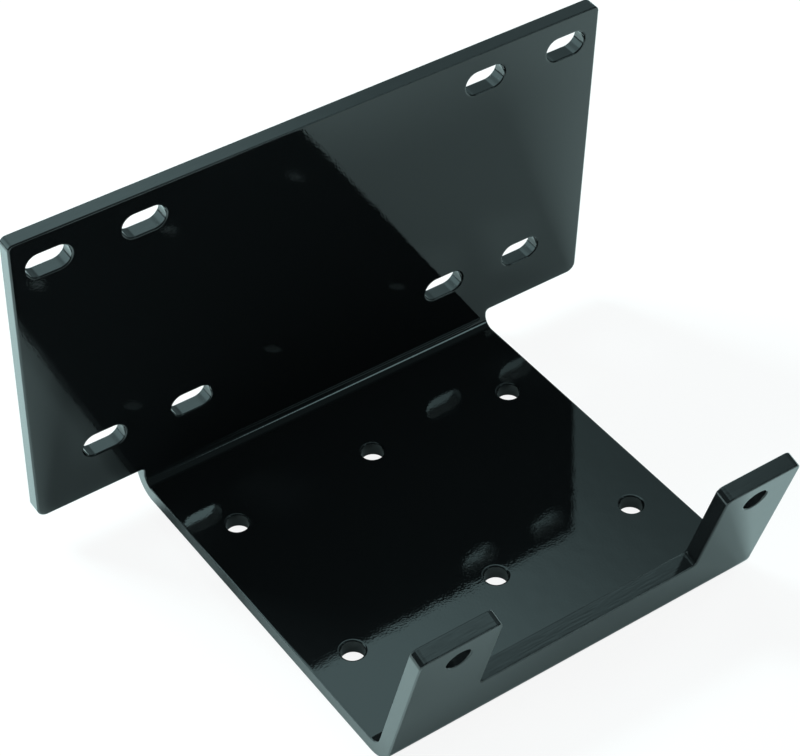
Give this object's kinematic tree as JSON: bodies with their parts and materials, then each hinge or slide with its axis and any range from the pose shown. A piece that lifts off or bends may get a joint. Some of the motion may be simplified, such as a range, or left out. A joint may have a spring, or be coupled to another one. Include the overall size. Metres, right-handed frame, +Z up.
{
  "type": "atv winch mount",
  "caption": "Folded steel plate that carries a small winch on a flat deck, with a wide slotted upright for the vehicle frame and two front ears for a fairlead.",
  "frame": {"origin": "middle of the four corner winch holes, on the deck's top face", "axes": "+X to the mount's right along its width, +Y to the rear, where the upright stands, +Z up from the deck"},
  "size_m": [0.2462, 0.1869, 0.1457],
  "materials": {
    "black_powder_coat": "gloss black powder coat on laser-cut steel plate"
  },
  "bodies": {
    "root": {"winch_mount_plate": "black_powder_coat"}
  },
  "joints": []
}
